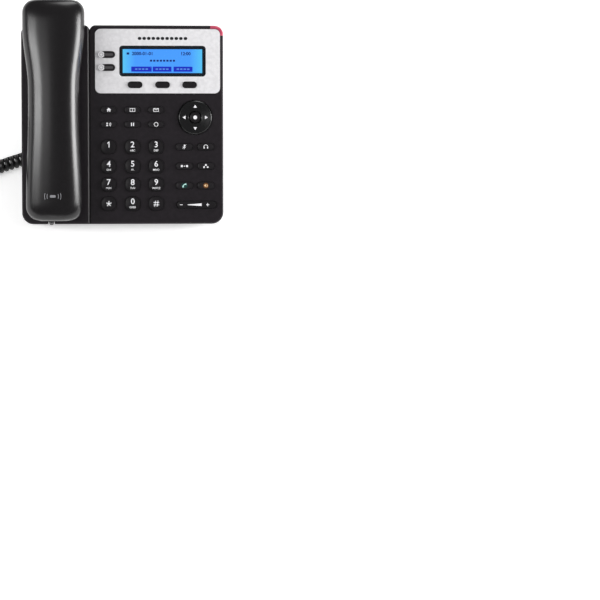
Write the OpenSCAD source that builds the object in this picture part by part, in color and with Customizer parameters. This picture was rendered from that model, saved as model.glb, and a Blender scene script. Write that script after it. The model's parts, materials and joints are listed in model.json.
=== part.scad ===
// Desk telephone for an office network: tilted body on a snap-in stand, with a
// lift-off handset on the left, a display panel and thirty-two keys on the right,
// and a curly handset cord. The face is drawn flat (u right, v up the face, w out
// of it) and then tilted into place.

/* [Body] */
// Body width, left to right
body_w = 184.5; // [170:0.5:210]
// Body height, measured up the face
body_h = 181.7; // [160:0.1:210]
// Tilt of the face from the desk
tilt = 28; // [15:1:40]
// Height of the face's front edge above the desk
front_z = 20; // [18:0.5:30]
// Corner radius at the front
corner_front = 10.7; // [4:0.1:14]
// Corner radius at the back
corner_back = 8; // [4:0.1:14]
// Width of the sloping rim round the face
rim_c = 1.2; // [0.4:0.1:2]
// Wall thickness of the case
wall = 2.5; // [2:0.1:3]
// Height of the top case's side walls
top_case_h = 12; // [10:0.5:16]
// Depth of the body at the back edge
body_depth = 36; // [30:0.5:45]

/* [Display] */
// Silver panel width
panel_w = 114.4; // [100:0.1:125]
// Silver panel height
panel_h = 58.7; // [50:0.1:70]
// Window width
window_w = 79; // [60:0.5:90]
// Window height
window_h = 27.9; // [20:0.1:40]

/* [Keys] */
// Key travel
key_travel = 1.2; // [0.8:0.1:1.5]
// How far a key stands out of the face
key_proud = 1.6; // [0.5:0.1:3]
// Gap between a key and its hole
key_gap = 0.4; // [0.3:0.05:0.8]
// Width of a digit key
digit_w = 13.2; // [10:0.1:15]
// Height of a digit key
digit_h = 12.8; // [10:0.1:15]
// Width of a function key
function_w = 13.8; // [10:0.1:16]
// Height of a function key
function_h = 5.6; // [4:0.1:8]
// Outer diameter of the navigation ring
ring_d = 30.6; // [24:0.1:34]
// Diameter of the centre key
ok_d = 9.5; // [7:0.1:12]

/* [Handset] */
// Handset length
handset_l = 200.6; // [190:0.1:215]
// Width at the earpiece end
ear_w = 56.4; // [48:0.1:58]
// Width at the middle of the grip
grip_w = 46.8; // [40:0.1:50]
// Width at the mouthpiece end
mouth_w = 51.2; // [44:0.1:56]
// Height of the handset's back above the face
handset_top = 31; // [26:0.5:36]
// Height of the finger gap under the grip
finger_gap = 11; // [8:0.5:14]

/* [Cord] */
// Diameter of the cord's wire
wire_d = 3.8; // [3:0.1:5]
// Outer diameter of the curly part
coil_d = 13; // [11:0.5:15]

/* [Display node] */
// Sub-part to draw

/* [Hidden] */

$fn = 48;
eps = 0.01;
touch = 0.3;              // running gap between bodies

// colours
charcoal = [0.17, 0.16, 0.18];
key_black = [0.09, 0.09, 0.10];
key_grey = [0.25, 0.25, 0.26];
silver = [0.85, 0.84, 0.85];
handset_black = [0.08, 0.08, 0.09];
rubber_black = [0.06, 0.06, 0.06];
board_green = [0.10, 0.32, 0.18];
metal = [0.66, 0.66, 0.68];
beige = [0.80, 0.78, 0.72];

// place of the whole object: the face's front edge in the plan
front_y = -85.39;

// levels below the face (w)
plate_w = -wall;                          // underside of the face plate
flange_top = plate_w - touch;             // keys' flanges sit just below it
flange_bottom = flange_top - 2;
membrane_top = flange_bottom - key_travel - 0.2;
membrane_t = 1.2;
board_top = membrane_top - membrane_t - 0.2;
board_t = 1.6;
panel_recess = 1.2;
panel_t = 1.6;

// columns and rows of the face (u, v)
half_w = body_w / 2;
cradle_u = -63;                           // centre line of the handset
divider_u = -29.9;                        // seam between cradle and key panel
panel_u = 32.1;                           // centre of the silver panel
panel_v = 149.05;
window_u = 36.6;
window_v = 149.15;
line_u = -14.7;
line_rows = [155.0, 143.2];
soft_cols = [11.3, 36.5, 61.3];
soft_v = 127.5;
function_cols = [-12.8, 8.8, 30.4];
function_rows = [104.5, 91.3];
digit_cols = [-13.1, 8.8, 30.4];
digit_rows = [70.8, 53.1, 36.3, 18.7];
nav_u = 66.3;
nav_v = 97.7;
cluster_cols = [56.3, 76.0];
cluster_rows = [70.8, 53.1, 35.2];
cluster_w = 15;
cluster_h = 6;
volume_u = 67.6;
volume_v = 17.6;
volume_w = 36.2;
volume_h = 6.4;
line_w = 15;
line_h = 5.6;
soft_w = 12.7;
soft_h = 5.4;
digit_r = 5.6;
lamp_t = 2.8;                             // width of the message light's strip
lamp_depth = 6.8;
lamp_from = [80.5, 172.6];                // the strip runs from here round the corner

// cradle
ear_v = 176;
ear_r = 22;
mouth_v = 28;
mouth_r = 20;
cap_depth = 5.6;                          // how far the caps reach below the face
well_gap = 1.5;
well_floor = -cap_depth - 0.6;
well_t = 2;
plunger_u = -44.5;
plunger_v = 172;
plunger_l = 7;
plunger_t = 4.6;
tab_v = 138;
tab_w = 12;
tab_t = 4;
tab_depth = 3.6;

// loudspeaker grille below the handset, and the hands-free microphone's hole
grille_v = 68;
grille_step = 4;
grille_n = 10;
grille_slot = [30, 1.8];
mic_u = 40;
mic_w = -8;

// vents in the floor
vent_u = -8;
vent_v = 68;
vent_step = 9;
vent_n = 8;
vent_slot = [24, 2.4];

// handset
seam_w = 14;                              // level of the seam between its two shells
back_power = 2.35;                        // roundness of the back: 2 is an ellipse
front_power = 3.2;
handset_v0 = 3.7;
handset_v1 = handset_v0 + handset_l;
shell_t = 2.2;

// feet and stand (plan distances from the face's front edge, heights from the desk)
foot_r = 6;
foot_t = 2.5;
front_foot = [77, 27];
rear_foot = [50, 164];
cheek_t = 5;
floor_slope = 13.3 / 188;                 // the floor falls away from the face
floor_front = [12, -24];

// screws: places on the face, all clear of keys and board
screw_places = [[-32.9, 56], [-32.9, 149], [86, 26.5], [86, 107]];
screw_r = 1.5;
boss_r = 3.2;
boss_split = -16;

// notch for the cord in the front edge
notch_u = -65.4;
notch_v = 1.2;
notch_r = 2.9;

// jacks
network_cols = [24, 44];
network_w = 15.8;
network_top = -14;
network_bottom = -28;
network_l = 20;
power_u = 66;
power_w = 12;
power_top = -14;
power_bottom = -26;
power_l = 14;
cord_jack_u = -72;
cord_jack_rows = [112, 134];
cord_jack_w = 12;
cord_jack_top = -17;
cord_jack_bottom = -30.2;

// ---------------------------------------------------------------- helpers

// the tilted frame of the face
module face() {
  translate([0, front_y, front_z]) rotate([tilt, 0, 0]) children();
}

// a plate in the face's frame between two levels
module slab(w0, w1) {
  translate([0, 0, w0]) linear_extrude(w1 - w0) children();
}

// exact rounded rectangle about its centre
module rounded(w, h, r) {
  square([w - 2 * r, h], center = true);
  square([w, h - 2 * r], center = true);
  for (x = [-1, 1], y = [-1, 1])
    translate([x * (w / 2 - r), y * (h / 2 - r)]) circle(r);
}

module pill(w, h) {
  square([w - h, h], center = true);
  for (x = [-1, 1]) translate([x * (w - h) / 2, 0]) circle(h / 2);
}

// body outline in the face's plane, inset by d
module outline(d = 0) {
  rf = corner_front - d;
  rb = corner_back - d;
  w = half_w - d;
  translate([-w, d + rf]) square([2 * w, body_h - 2 * d - rf - rb]);
  translate([-w + rf, d]) square([2 * (w - rf), body_h / 2]);
  translate([-w + rb, body_h / 2]) square([2 * (w - rb), body_h / 2 - d]);
  for (s = [-1, 1]) {
    translate([s * (w - rf), d + rf]) circle(rf);
    translate([s * (w - rb), body_h - d - rb]) circle(rb);
  }
}

// upper part of the body, with a sloping rim of width c: cones at the corners and
// prisms along the straight edges
module body_block(c) {
  reach = 2 * corner_front;
  slab(-top_case_h, -c) outline();
  slab(-c - eps, 0) outline(c);
  translate([0, 0, -c]) {
    for (s = [-1, 1]) {
      translate([s * (half_w - corner_front), corner_front, 0])
        cylinder(h = c, r1 = corner_front, r2 = corner_front - c);
      translate([s * (half_w - corner_back), body_h - corner_back, 0])
        cylinder(h = c, r1 = corner_back, r2 = corner_back - c);
    }
    translate([0, corner_front, 0]) rotate([-90, 0, 0])
      linear_extrude(body_h - corner_front - corner_back)
        polygon([[-half_w, 0], [half_w, 0], [half_w - c, -c], [c - half_w, -c]]);
    side_prism(corner_front - half_w, half_w - corner_front, [[0, 0], [reach, 0], [reach, c], [c, c]]);
    side_prism(corner_back - half_w, half_w - corner_back,
      [[body_h, 0], [body_h - c, c], [body_h - reach, c], [body_h - reach, 0]]);
  }
}

// V-shaped nick at the top of the seam, between two rounded corners
nick_block = [13, 9];
module nick() {
  r = 5.2;
  difference() {
    translate([divider_u - r, body_h - r]) square([2 * r, r + 1]);
    for (s = [-1, 1]) translate([divider_u + s * r, body_h - r]) circle(r);
  }
}

// prism along u from points given as [v, w]
module side_prism(u0, u1, points) {
  translate([u0, 0, 0]) rotate([90, 0, 90]) linear_extrude(u1 - u0) polygon(points);
}

function floor_w(v) = floor_front[1] - (v - floor_front[0]) * floor_slope;

// a key: cap above the face, flange below it
module key(u, v, w, h, r, colour) {
  color(colour) face() translate([u, v, 0]) {
    slab(flange_top - eps, key_proud) rounded(w, h, r);
    slab(flange_bottom, flange_top) rounded(w + 1.6, h + 1.6, r + 0.8);
  }
}

module pill_key(u, v, w, h, colour) {
  color(colour) face() translate([u, v, 0]) {
    slab(flange_top - eps, key_proud) pill(w, h);
    slab(flange_bottom, flange_top) pill(w + 1.6, h + 1.6);
  }
}

module digit_key(col, row) {
  key(digit_cols[col], digit_rows[row], digit_w, digit_h, digit_r, key_black);
}

module function_key(col, row) {
  pill_key(function_cols[col], function_rows[row], function_w, function_h, key_grey);
}

module cluster_key(col, row) {
  pill_key(cluster_cols[col], cluster_rows[row], cluster_w, cluster_h, key_grey);
}

// holes for the keys of the silver panel
module panel_key_holes(g) {
  for (v = line_rows) translate([line_u, v]) pill(line_w + 2 * g, line_h + 2 * g);
  for (u = soft_cols) translate([u, soft_v]) pill(soft_w + 2 * g, soft_h + 2 * g);
}

// holes for all other keys
module key_holes(g) {
  for (u = function_cols, v = function_rows)
    translate([u, v]) pill(function_w + 2 * g, function_h + 2 * g);
  for (u = digit_cols, v = digit_rows)
    translate([u, v]) rounded(digit_w + 2 * g, digit_h + 2 * g, digit_r + g);
  for (u = cluster_cols, v = cluster_rows)
    translate([u, v]) pill(cluster_w + 2 * g, cluster_h + 2 * g);
  translate([volume_u, volume_v]) pill(volume_w + 3 * g, volume_h + 2 * g);
  translate([nav_u, nav_v]) circle(ring_d / 2 + 2 * g);
}

// corner strip of the message light, inset and grown by g
module lamp_strip(g = 0) {
  intersection() {
    difference() { outline(); outline(lamp_t + g); }
    translate([lamp_from[0] - g, lamp_from[1] - g]) square([20, 20]);
  }
}

// ---------------------------------------------------------------- case

module top_case() {
  color(charcoal) face() difference() {
    union() {
      difference() {
        body_block(rim_c);
        slab(-top_case_h - 1, plate_w) outline(wall);
      }
      // cups of the two cradle wells
      intersection() {
        slab(well_floor - well_t, plate_w + eps) outline();
        union() {
          translate([cradle_u, ear_v, -20]) cylinder(h = 20, r = ear_r + well_gap + well_t);
          translate([cradle_u, mouth_v, -20]) cylinder(h = 20, r = mouth_r + well_gap + well_t);
        }
      }
      // block behind the nick, cord notch lining and screw bosses
      slab(-top_case_h, plate_w + eps) nick_wall();
      intersection() {
        slab(-top_case_h, plate_w + eps) outline();
        translate([notch_u, notch_v, -20]) cylinder(h = 20, r = notch_r + wall);
      }
      for (p = screw_places) translate([p[0], p[1], boss_split]) cylinder(h = -boss_split - 1, r = boss_r);
      // pocket walls of the hook tab
      slab(-6, plate_w + eps) translate([cradle_u, tab_v]) square([tab_w + 5, tab_t + 5], center = true);
      // rim round the message light
      intersection() {
        slab(-7.5, plate_w + eps) outline();
        slab(-7.5, 0) translate([half_w - 16, body_h - 13]) square([16, 13]);
      }
    }
    // wells
    translate([cradle_u, ear_v, well_floor]) cylinder(h = 20, r = ear_r + well_gap);
    translate([cradle_u, mouth_v, well_floor]) cylinder(h = 20, r = mouth_r + well_gap);
    // seam between cradle and key panel, with its bevelled edge
    side_seam();
    slab(-top_case_h - 1, 1) nick();
    // silver panel pocket and the holes in it
    slab(-panel_recess, 1) translate([panel_u, panel_v]) rounded(panel_w + 0.2, panel_h + 0.2, 5.1);
    slab(-5, 1) panel_key_holes(key_gap);
    slab(-5, 1) translate([window_u - 1, window_v]) rounded(window_w - 1, window_h - 1, 2);
    slab(-5, 1) key_holes(key_gap);
    // cord notch
    translate([notch_u, notch_v, -20]) cylinder(h = 24, r = notch_r);
    slab(-20, 4) translate([notch_u - notch_r, notch_v - 10]) square([2 * notch_r, 10]);
    // hook plunger and hook tab
    slab(-12, 0) translate([plunger_u, plunger_v]) rounded(plunger_l + 0.7, plunger_t + 0.7, 1.3);
    slab(-4, 1) translate([cradle_u, tab_v]) square([tab_w + 0.6, tab_t + 0.6], center = true);
    // loudspeaker grille
    for (i = [0:grille_n - 1]) slab(-4, 1)
      translate([cradle_u, grille_v + i * grille_step]) pill(grille_slot[0], grille_slot[1]);
    // message light
    slab(-lamp_depth - 0.1, 1) lamp_strip(0.1);
    // hands-free microphone hole
    translate([mic_u, -1, mic_w]) rotate([-90, 0, 0]) cylinder(h = 6, r = 0.8);
    // pilot holes
    for (p = screw_places) translate([p[0], p[1], boss_split - 1]) cylinder(h = 11, r = screw_r);
  }
}

// walls that close the case behind the nick
module nick_wall() {
  translate([divider_u - nick_block[0] / 2, body_h - nick_block[1] - 1]) square(nick_block);
}

module side_seam() {
  rotate([-90, 0, 0]) translate([0, 0, -1]) linear_extrude(body_h + 2)
    polygon([[divider_u - 2, -0.5], [divider_u - 2, 0], [divider_u - 0.5, 0.9], [divider_u - 0.5, 1.6],
             [divider_u + 0.5, 1.6], [divider_u + 0.5, -0.5]]);
}

module bottom_case() {
  color(charcoal) difference() {
    union() {
      face() difference() {
        intersection() {
          slab(-body_depth - 2, -top_case_h) outline();
          side_prism(-half_w - 1, half_w + 1, [
            [0, -top_case_h], floor_front, [body_h + 5, floor_w(body_h + 5)], [body_h + 5, -top_case_h]]);
        }
        intersection() {
          slab(-body_depth - 2, -top_case_h + 1) outline(wall);
          side_prism(-half_w, half_w, [[3.4, -top_case_h + 1], [3.4, -top_case_h],
                                       [floor_front[0] + 1, floor_front[1] + wall],
                                       [body_h, floor_w(body_h) + wall], [body_h, -top_case_h + 1]]);
        }
      }
      // pads for the front feet, level with the desk
      for (s = [-1, 1]) intersection() {
        translate([s * front_foot[0], front_y + front_foot[1], foot_t]) cylinder(h = 12, r = foot_r + 1);
        face() slab(-body_depth, floor_w(20) + 4) outline(wall / 2);
      }
      // screw bosses and cord notch lining
      face() for (p = screw_places)
        translate([p[0], p[1], floor_w(p[1]) + 1])
          cylinder(h = boss_split - floor_w(p[1]) - 1, r = boss_r + 1);
      face() intersection() {
        slab(-body_depth, -top_case_h) outline();
        translate([notch_u, notch_v, -20]) cylinder(h = 20, r = notch_r + wall);
        side_prism(notch_u - 20, notch_u + 20, [[0, -top_case_h], [9, -21], [9, -top_case_h]]);
      }
      face() slab(floor_w(body_h - nick_block[1]) + 1, -top_case_h) nick_wall();
    }
    face() {
      slab(-body_depth - 4, 1) nick();
      // cord notch
      translate([notch_u, notch_v, -30]) cylinder(h = 34, r = notch_r);
      slab(-30, 4) translate([notch_u - notch_r, notch_v - 10]) square([2 * notch_r, 10]);
      // screw clearance and counterbores
      for (p = screw_places) {
        translate([p[0], p[1], -50]) cylinder(h = 50, r = screw_r + 0.2);
        translate([p[0], p[1], -50]) cylinder(h = 50 + floor_w(p[1]) + 4, r = 3.1);
      }
      // network and power openings in the back wall
      for (u = network_cols) slab(network_bottom - 0.2, network_top + 0.2)
        translate([u, body_h - 4]) square([network_w + 0.4, 10], center = true);
      slab(power_bottom - 0.2, power_top + 0.2)
        translate([power_u, body_h - 4]) square([power_w + 0.4, 10], center = true);
      // cord jacks in the floor
      for (v = cord_jack_rows) slab(-body_depth, cord_jack_bottom + 4)
        translate([cord_jack_u, v]) square([cord_jack_w + 0.4, cord_jack_w + 0.4], center = true);
      // vents
      for (i = [0:vent_n - 1]) slab(-body_depth, -20)
        translate([vent_u + i * vent_step, vent_v]) rotate(90) pill(vent_slot[0], vent_slot[1]);
    }
  }
}

module case_screws() {
  color(metal) face() for (p = screw_places) {
    translate([p[0], p[1], floor_w(p[1]) + 4]) cylinder(h = -8 - floor_w(p[1]) - 4, r = screw_r);
    translate([p[0], p[1], floor_w(p[1]) + 2.2]) cylinder(h = 1.8, r = 2.8);
  }
}

module message_light() {
  color([0.78, 0.38, 0.48]) face() intersection() {
    slab(-lamp_depth, 0) lamp_strip();
    body_block(rim_c);
  }
}

module feet() {
  color(rubber_black) for (s = [-1, 1], p = [front_foot, rear_foot])
    translate([s * p[0], front_y + p[1], 0]) cylinder(h = foot_t, r = foot_r);
}

// stand: a plate against the floor, two cheeks and two cross bars
stand_v0 = 96;
stand_v1 = 172;
stand_plate = 3;
stand_half = 56;
stand_window = [80, 50, 6];               // width, height and corner radius
function desk_y(v, w) = v * cos(tilt) - w * sin(tilt);
function desk_z(v, w) = front_z + v * sin(tilt) + w * cos(tilt);

module stand_side(x) {
  drop = 1;
  translate([x - cheek_t / 2, front_y, 0]) rotate([90, 0, 90]) linear_extrude(cheek_t) difference() {
    polygon([
      [desk_y(stand_v0, floor_w(stand_v0) - drop), desk_z(stand_v0, floor_w(stand_v0) - drop)],
      [desk_y(stand_v1, floor_w(stand_v1) - drop), desk_z(stand_v1, floor_w(stand_v1) - drop)],
      [rear_foot[1] + 7, foot_t], [rear_foot[1] - 7, foot_t]]);
    polygon([
      [desk_y(124, floor_w(124) - 8), desk_z(124, floor_w(124) - 8)],
      [desk_y(164, floor_w(164) - 8), desk_z(164, floor_w(164) - 8)],
      [rear_foot[1] + 2, 14], [rear_foot[1] - 3, 14]]);
  }
}

module desk_stand() {
  color(charcoal) {
    difference() {
      face() side_prism(-stand_half, stand_half, [
        [stand_v0, floor_w(stand_v0)], [stand_v1, floor_w(stand_v1)],
        [stand_v1, floor_w(stand_v1) - stand_plate], [stand_v0, floor_w(stand_v0) - stand_plate]]);
      face() slab(-60, 0) translate([0, (stand_v0 + stand_v1) / 2])
        rounded(stand_window[0], stand_window[1], stand_window[2]);
      // room round the screw head and the vents
      face() for (p = screw_places) translate([p[0], p[1], -60]) cylinder(h = 60, r = 5);
    }
    for (s = [-1, 1]) stand_side(s * rear_foot[0]);
    for (s = [-1, 1]) translate([s * rear_foot[0], front_y + rear_foot[1], foot_t])
      cylinder(h = 3, r = foot_r + 1);
    translate([-rear_foot[0], front_y + rear_foot[1] - 4, 8]) cube([2 * rear_foot[0], 8, 5]);
  }
}

// ---------------------------------------------------------------- display and electronics

module display_bezel() {
  color(silver) face() difference() {
    slab(-panel_recess, panel_t - panel_recess) translate([panel_u, panel_v]) rounded(panel_w, panel_h, 5);
    slab(-5, 2) translate([window_u, window_v]) rounded(window_w + 0.2, window_h + 0.2, 3.1);
    slab(-5, 2) panel_key_holes(key_gap);
  }
}

module lcd_window() {
  color([0.35, 0.65, 0.92, 0.5]) face()
    slab(-panel_recess, 0) translate([window_u, window_v]) rounded(window_w, window_h, 3);
}

module lcd_module() {
  color([0.25, 0.62, 0.95]) face() union() {
    slab(-3.6, -panel_recess - 0.1) translate([window_u - 1, window_v])
      square([window_w - 4, window_h - 4], center = true);
    slab(board_top, -3.55) translate([window_u - 1, window_v])
      square([window_w - 1, window_h - 2], center = true);
  }
}

module display_ribbon() {
  top = window_v + window_h / 2 - 1;
  color([0.78, 0.48, 0.20]) face() side_prism(22, 48, [
    [top, -5.0], [top + 6, -5.0], [top + 6, board_top], [top + 5.6, board_top],
    [top + 5.6, -5.4], [top, -5.4]]);
}

module main_board() {
  chips = [[10, 60, 22], [48, 40, 16], [40, 110, 14], [-10, 140, 12]];    // place and size
  corner = [-26.5, 9];
  size = [107.5, 162];
  color(board_green) face() {
    difference() {
      slab(board_top - board_t, board_top) translate(corner) square(size);
      translate([nav_u, nav_v, -20]) cylinder(h = 30, r = 3);
    }
    for (c = chips) slab(board_top - board_t - 2, board_top - board_t + eps)
      translate([c[0], c[1]]) square(c[2], center = true);
    // shielding box over the network parts
    slab(board_top - board_t - 2.6, board_top - board_t + eps) translate([22, 140]) square([46, 26]);
    // small board that holds the hook sensor below the plunger
    slab(-23, -21.4) translate([plunger_u - 8, plunger_v - 10]) square([16, 16]);
    slab(-21.5, -18.5) translate([plunger_u, plunger_v]) square([9, 6], center = true);
  }
}

module keypad_membrane() {
  color([0.30, 0.30, 0.33]) face() difference() {
    union() {
      slab(membrane_top - membrane_t, membrane_top) translate([-26, 9.5]) square([106.5, 124]);
      slab(membrane_top - membrane_t, membrane_top) translate([-26, 133]) square([21.5, 28]);
    }
    for (p = screw_places) translate([p[0], p[1], -20]) cylinder(h = 30, r = boss_r + 0.6);
    translate([nav_u, nav_v, -20]) cylinder(h = 30, r = 3);
  }
}

module loudspeaker() {
  r = 23;
  centre_v = 86;
  color([0.20, 0.20, 0.20]) face() translate([cradle_u, centre_v, 0]) rotate_extrude() polygon([
    [0, -12], [r - 5, -4.2], [r - 5, plate_w - 0.1], [r, plate_w - 0.1], [r, -6],
    [13, -13], [13, -20], [0, -20]]);
}

module handsfree_mic() {
  color(metal) face() translate([mic_u, wall + 0.1, mic_w]) rotate([-90, 0, 0]) cylinder(h = 3.4, r = 2.8);
}

module network_jacks() {
  color(beige) face() for (u = network_cols) difference() {
    slab(network_bottom, network_top) translate([u - network_w / 2, body_h - network_l])
      square([network_w, network_l]);
    slab(network_bottom + 3.4, network_top - 2.2) translate([u - 6, body_h - 14]) square([12, 20]);
    slab(network_bottom + 1.4, network_bottom + 4) translate([u - 3.2, body_h - 14]) square([6.4, 20]);
  }
}

module power_jack() {
  middle = (power_top + power_bottom) / 2;
  color(key_black) face() {
    difference() {
      slab(power_bottom, power_top) translate([power_u - power_w / 2, body_h - power_l])
        square([power_w, power_l]);
      translate([power_u, body_h - 9, middle]) rotate([-90, 0, 0]) cylinder(h = 20, r = 3.2);
    }
    translate([power_u, body_h - 10, middle]) rotate([-90, 0, 0]) cylinder(h = 8, r = 1);
  }
}

module cord_jacks() {
  color(key_black) face() for (v = cord_jack_rows) difference() {
    slab(cord_jack_bottom, cord_jack_top) translate([cord_jack_u, v])
      square([cord_jack_w, cord_jack_w], center = true);
    slab(cord_jack_bottom - 1, cord_jack_top - 1.6) translate([cord_jack_u, v])
      square([8, 7.2], center = true);
  }
}

module hook_plunger() {
  color(key_black) face() {
    slab(-17, -cap_depth - touch) translate([plunger_u, plunger_v]) rounded(plunger_l, plunger_t, 1);
    slab(-14.4, -12.6) translate([plunger_u, plunger_v]) rounded(plunger_l + 4, plunger_t + 3, 1);
  }
}

module hook_tab() {
  color(charcoal) face() slab(-tab_depth, 0) translate([cradle_u, tab_v])
    square([tab_w, tab_t], center = true);
}

// ---------------------------------------------------------------- keys

module line_key_1() { pill_key(line_u, line_rows[0], line_w, line_h, key_grey); }
module line_key_2() { pill_key(line_u, line_rows[1], line_w, line_h, key_grey); }
module soft_key_1() { pill_key(soft_cols[0], soft_v, soft_w, soft_h, key_black); }
module soft_key_2() { pill_key(soft_cols[1], soft_v, soft_w, soft_h, key_black); }
module soft_key_3() { pill_key(soft_cols[2], soft_v, soft_w, soft_h, key_black); }

module home_key() { function_key(0, 0); }
module contacts_key() { function_key(1, 0); }
module mail_key() { function_key(2, 0); }
module page_key() { function_key(0, 1); }
module hold_key() { function_key(1, 1); }
module ring_key() { function_key(2, 1); }

module digit_1() { digit_key(0, 0); }
module digit_2() { digit_key(1, 0); }
module digit_3() { digit_key(2, 0); }
module digit_4() { digit_key(0, 1); }
module digit_5() { digit_key(1, 1); }
module digit_6() { digit_key(2, 1); }
module digit_7() { digit_key(0, 2); }
module digit_8() { digit_key(1, 2); }
module digit_9() { digit_key(2, 2); }
module star_key() { digit_key(0, 3); }
module digit_0() { digit_key(1, 3); }
module hash_key() { digit_key(2, 3); }

module mute_key() { cluster_key(0, 0); }
module headset_key() { cluster_key(1, 0); }
module transfer_key() { cluster_key(0, 1); }
module conference_key() { cluster_key(1, 1); }
module send_key() { cluster_key(0, 2); }
module speaker_key() { cluster_key(1, 2); }

// the rocker tips about its middle, so its flange stays short of the plate
module volume_rocker() {
  color(key_black) face() translate([volume_u, volume_v, 0]) {
    slab(-3.6, key_proud) pill(volume_w, volume_h);
    rotate([90, 0, 0]) translate([0, -4.4, -4]) cylinder(h = 8, r = 1.1);
  }
}

// small gimbal under the ring: tips left and right, and carries the ring
gimbal_w = -4.7;
module nav_pivot() {
  color(metal) face() translate([nav_u, nav_v, 0]) difference() {
    slab(gimbal_w - 0.4, gimbal_w + 0.4) circle(9);
    slab(gimbal_w - 1, gimbal_w + 1) circle(6);
  }
}

module nav_ring() {
  r = ring_d / 2;
  bore = ok_d / 2 + 1.1;
  color(key_grey) face() translate([nav_u, nav_v, 0]) rotate_extrude() polygon([
    [bore, -3.3], [r - 1, -3.3], [r, -2.6], [r, 1.2], [r - 0.8, 2.0], [r - 4, 1.5],
    [bore + 1, 0.9], [bore, 0.6]]);
}

module ok_key() {
  color(key_black) face() translate([nav_u, nav_v, 0]) union() {
    slab(-4.4, 1.2) circle(ok_d / 2);
    slab(-4.8, 1.5) circle(ok_d / 2 - 0.6);
  }
}

// ---------------------------------------------------------------- handset

// smooth step from 0 to 1
function ease(x) = let (t = min(1, max(0, x))) t * t * (3 - 2 * t);

function mix(a, b, t) = a + (b - a) * t;

// half width along the handset, before the rounded ends
function hs_half(v) =
  v < 105 ? mix(mouth_w, grip_w, ease((v - 20) / 85)) / 2
          : mix(grip_w, ear_w, ease((v - 125) / 55)) / 2;

// rounding of an end: r is its depth along the handset, k the share it takes off
function end_cut(d, r) = d >= r ? 1 : sqrt(max(0, 1 - pow(1 - d / r, 2)));

function hs_plan(v, inset) = let (
  lo = v - handset_v0 - inset, hi = handset_v1 - inset - v, a = hs_half(v) - inset,
  rl = 13 - inset, rh = 12 - inset)
  a - rl * (1 - end_cut(lo, rl)) - rh * (1 - end_cut(hi, rh));

// height of the back above the seam
function hs_back(v, inset) = let (
  lo = v - handset_v0 - inset, hi = handset_v1 - inset - v,
  crown = handset_top - seam_w - inset - 2.4 * pow((v - 105) / 100, 2))
  crown * (0.45 + 0.55 * end_cut(lo, 15)) * (0.45 + 0.55 * end_cut(hi, 17));

// depth of the inner side below the seam: full at the ends, short at the finger gap
function hs_front(v, inset) = let (
  gap = ease((v - 48) / 16) * ease((150 - v) / 14),
  lo = v - handset_v0 - inset, hi = handset_v1 - inset - v,
  deep = seam_w - 0.9 - inset, shallow = seam_w - finger_gap - inset * 0.4)
  mix(deep, max(0.8, shallow), gap) * (0.6 + 0.4 * end_cut(lo, 8)) * (0.6 + 0.4 * end_cut(hi, 10));

// stations along the handset, closer together at the ends
station_n = 44;
function station(i, inset) = let (
  t = i / (station_n - 1), s = t + 0.11 * sin(360 * t) * -1)
  mix(handset_v0 + inset, handset_v1 - inset, s);

// half ring over the seam (side = 1) or under it (side = -1)
arc_n = 22;
function arc_point(a, b, k, side, power) = let (
  t = 180 * k / (arc_n - 1), c = cos(t), s = sin(t))
  [a * sign(c) * pow(abs(c), 2 / power), side * b * pow(abs(s), 2 / power)];

module handset_half(side, inset, power) {
  points = [for (i = [0:station_n - 1]) let (
      v = station(i, inset), a = max(1, hs_plan(v, inset)),
      b = side > 0 ? hs_back(v, inset) : hs_front(v, inset))
    for (k = [0:arc_n - 1]) let (p = arc_point(a, b, k, side, power)) [cradle_u + p[0], v, seam_w + p[1]]];
  rows = [for (i = [0:station_n - 2]) for (k = [0:arc_n - 1]) let (
      k2 = (k + 1) % arc_n, p = i * arc_n + k, q = i * arc_n + k2)
    [p, q, q + arc_n, p + arc_n]];
  ends = [[for (k = [arc_n - 1:-1:0]) k], [for (k = [0:arc_n - 1]) (station_n - 1) * arc_n + k]];
  faces = concat(rows, ends);
  polyhedron(points, side > 0 ? faces : [for (f = faces) [for (j = [len(f) - 1:-1:0]) f[j]]], convexity = 6);
}

module handset_back() {
  color(handset_black) face() difference() {
    handset_half(1, 0, back_power);
    translate([0, 0, -0.05]) handset_half(1, shell_t, back_power);
  }
}

// inner side of the handset: shell, ear cap, mouth cap and the plug's pocket
module handset_front() {
  color(handset_black) face() difference() {
    union() {
      difference() {
        handset_half(-1, 0, front_power);
        translate([0, 0, 0.05]) handset_half(-1, shell_t, front_power);
      }
      translate([cradle_u, ear_v, -cap_depth]) cylinder(h = cap_depth + 5.5, r = ear_r);
      translate([cradle_u, mouth_v, -cap_depth]) cylinder(h = cap_depth + 5.5, r = mouth_r);
      // housing of the plug's pocket
      translate([notch_u - 6, handset_v0 + 2.6, 3]) cube([12, 17, seam_w - 3 - 0.1]);
    }
    // hollow caps
    translate([cradle_u, ear_v, -cap_depth + 2]) cylinder(h = 20, r = ear_r - 2);
    difference() {
      translate([cradle_u, mouth_v, -cap_depth + 2]) cylinder(h = 20, r = mouth_r - 2);
      translate([notch_u - 6, handset_v0 + 2.6, 3]) cube([12, 17, 20]);
    }
    // sound holes
    for (i = [0:5]) translate([cradle_u + 7 * cos(60 * i), ear_v + 7 * sin(60 * i), -10])
      cylinder(h = 10, r = 1.1);
    translate([cradle_u, ear_v, -10]) cylinder(h = 10, r = 1.1);
    for (i = [-2:2]) translate([cradle_u + 3.2 * i, mouth_v, -10]) cylinder(h = 10, r = 0.9);
    plug_space();
  }
}

// pocket of the plug: it leans so that the cord leaves down and forward
plug_lean = 35;
plug_v = 7.6;
plug_w = 5;
module plug_place() {
  translate([notch_u, plug_v, plug_w]) rotate([plug_lean, 0, 0]) children();
}
module plug_space() {
  plug_place() translate([-4.2, -12, -3.6]) cube([8.4, 22.2, 7.2]);
}

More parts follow.
